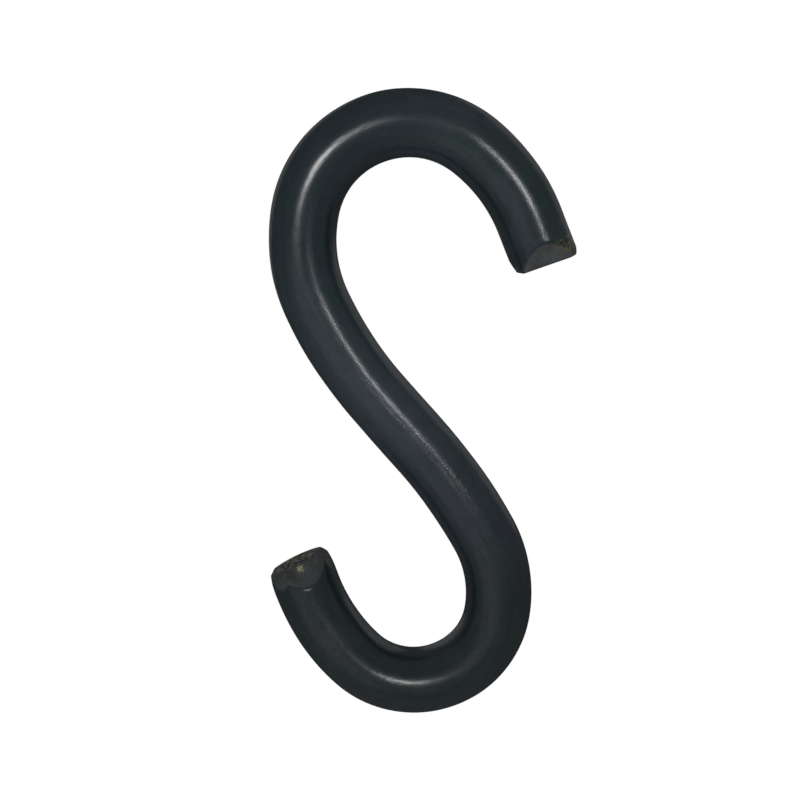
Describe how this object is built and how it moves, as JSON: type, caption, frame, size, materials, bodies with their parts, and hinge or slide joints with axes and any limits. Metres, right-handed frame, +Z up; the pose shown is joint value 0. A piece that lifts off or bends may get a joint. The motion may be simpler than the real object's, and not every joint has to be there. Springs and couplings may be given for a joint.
{
  "type": "bucket hook",
  "caption": "S-shaped hook bent from one length of thick round bar, with cropped ends, for hanging a bucket from a rail.",
  "frame": {"origin": "centre of the upper seat's bend, in the middle of the bar's thickness", "axes": "+Z up as the hook hangs, +X towards the upper lip, +Y from the bevelled front of the ends to the back, so the S lies in the XZ plane"},
  "size_m": [0.0462, 0.01, 0.0942],
  "materials": {
    "hook": "blue-black oxide on bent steel bar, semi-gloss"
  },
  "bodies": {
    "root": {"hook": "hook"}
  },
  "joints": []
}
